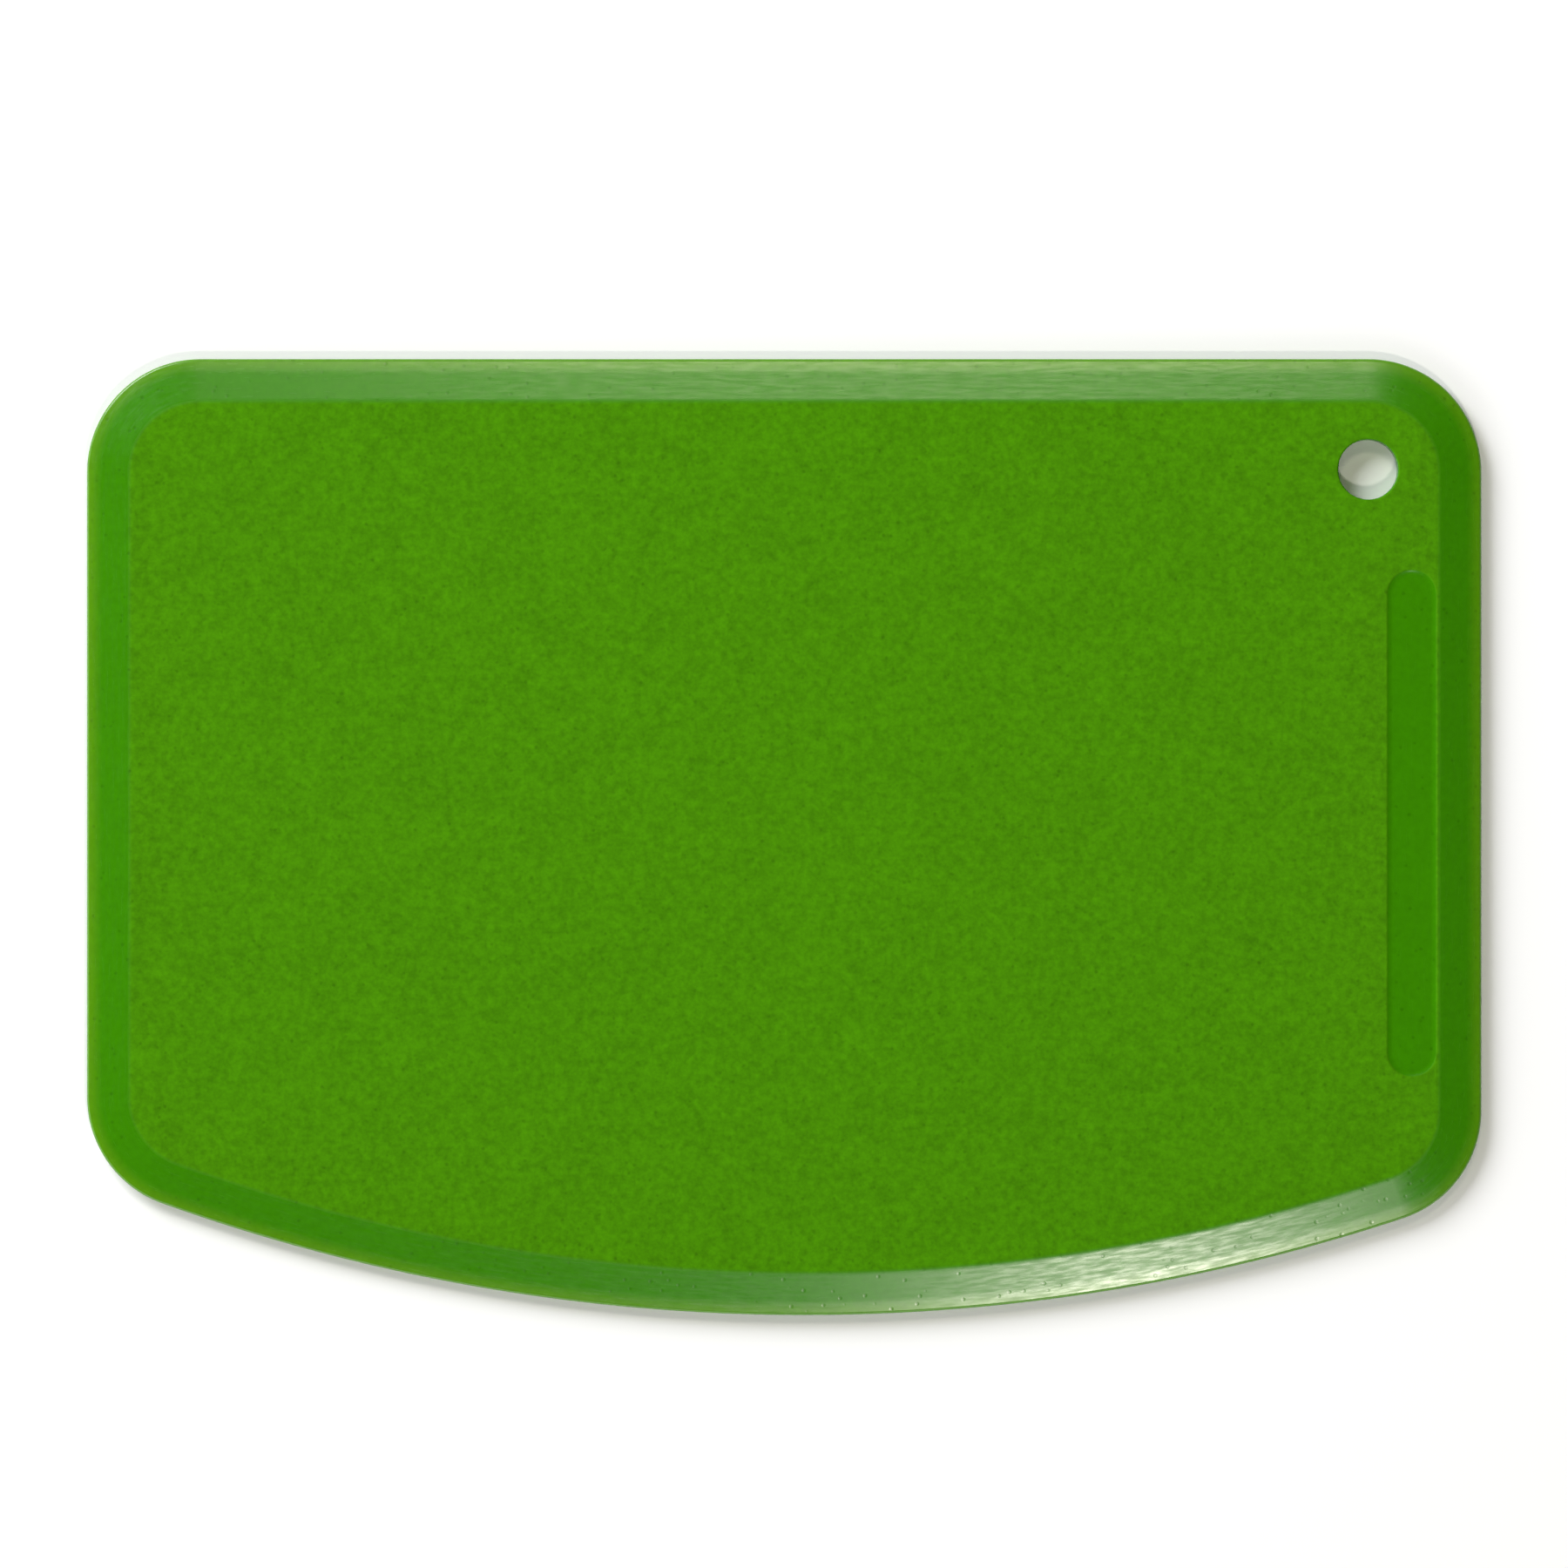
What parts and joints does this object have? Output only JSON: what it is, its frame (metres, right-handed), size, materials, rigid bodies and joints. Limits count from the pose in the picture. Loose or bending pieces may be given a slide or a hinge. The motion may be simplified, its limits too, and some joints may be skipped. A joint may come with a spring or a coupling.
{
  "type": "bowl scraper",
  "caption": "Flexible one-piece kitchen scraper plate with a bevelled rim, one bowed edge, three straight edges and a hanging hole.",
  "frame": {"origin": "middle of the plate's bounding box in plan, on the surface that the plate lies on", "axes": "+X along the plate towards the end with the hole, +Y from the bowed edge to the straight long edge, +Z out of the front face, which has the sunk panel"},
  "size_m": [0.1396, 0.0958, 0.0024],
  "materials": {
    "green_plastic": "leaf-green flexible polypropylene: fine matt spark-eroded grain on the flat faces, smoother satin bevels that pale towards the thin lip, and a smooth sunk panel"
  },
  "bodies": {
    "root": {"scraper_plate": "green_plastic"}
  },
  "joints": []
}
